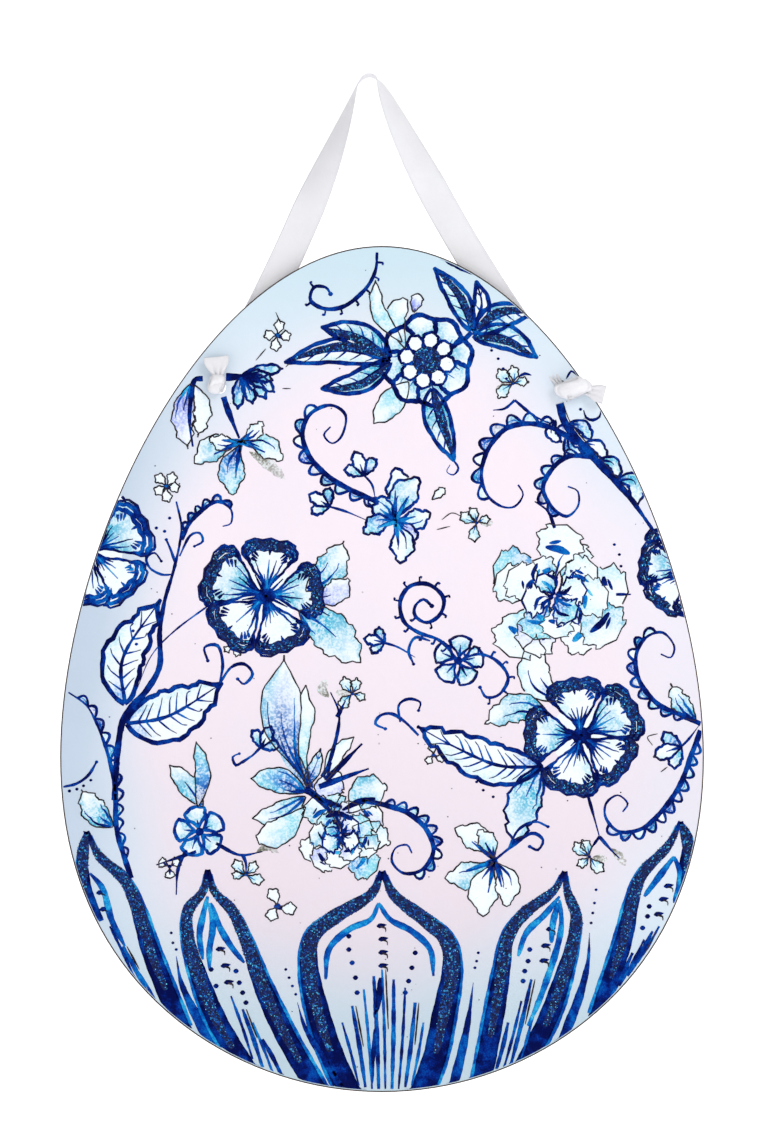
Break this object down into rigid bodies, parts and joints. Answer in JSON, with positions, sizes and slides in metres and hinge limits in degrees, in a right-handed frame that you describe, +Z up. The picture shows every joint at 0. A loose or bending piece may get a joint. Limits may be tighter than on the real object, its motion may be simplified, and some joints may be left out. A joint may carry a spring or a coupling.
{
  "type": "egg-shaped hanging board",
  "caption": "Flat egg-shaped wooden door hanger painted with blue florals on a pale ground, hung on a white satin ribbon loop knotted through the board.",
  "frame": {"origin": "the hang point: the inside of the ribbon's crown, where a hook or nail takes the loop", "axes": "+Z up along the board, the painted front faces -Y, +X to the viewer's right"},
  "size_m": [0.388, 0.0244, 0.6138],
  "materials": {
    "ribbon": "white satin, soft sheen",
    "board_wood": "raw sheet, scorched dark at the cut edge",
    "paint": "satin acrylic paint, pale ground with blue florals and dark blue glitter"
  },
  "bodies": {
    "ribbon": {"ribbon_loop": "ribbon"},
    "board": {"egg_board": "board_wood", "painted_face": "paint", "left_ribbon_pass": "ribbon", "right_ribbon_pass": "ribbon", "left_knot": "ribbon", "right_knot": "ribbon", "left_tail": "ribbon", "right_tail": "ribbon"}
  },
  "joints": [
    {"name": "board_swing", "type": "hinge", "parent": "ribbon", "child": "board", "pos_m": [0.0128, 0.0038, -0.188], "axis": [1, 0, 0], "range_deg": [0, 175]}
  ]
}
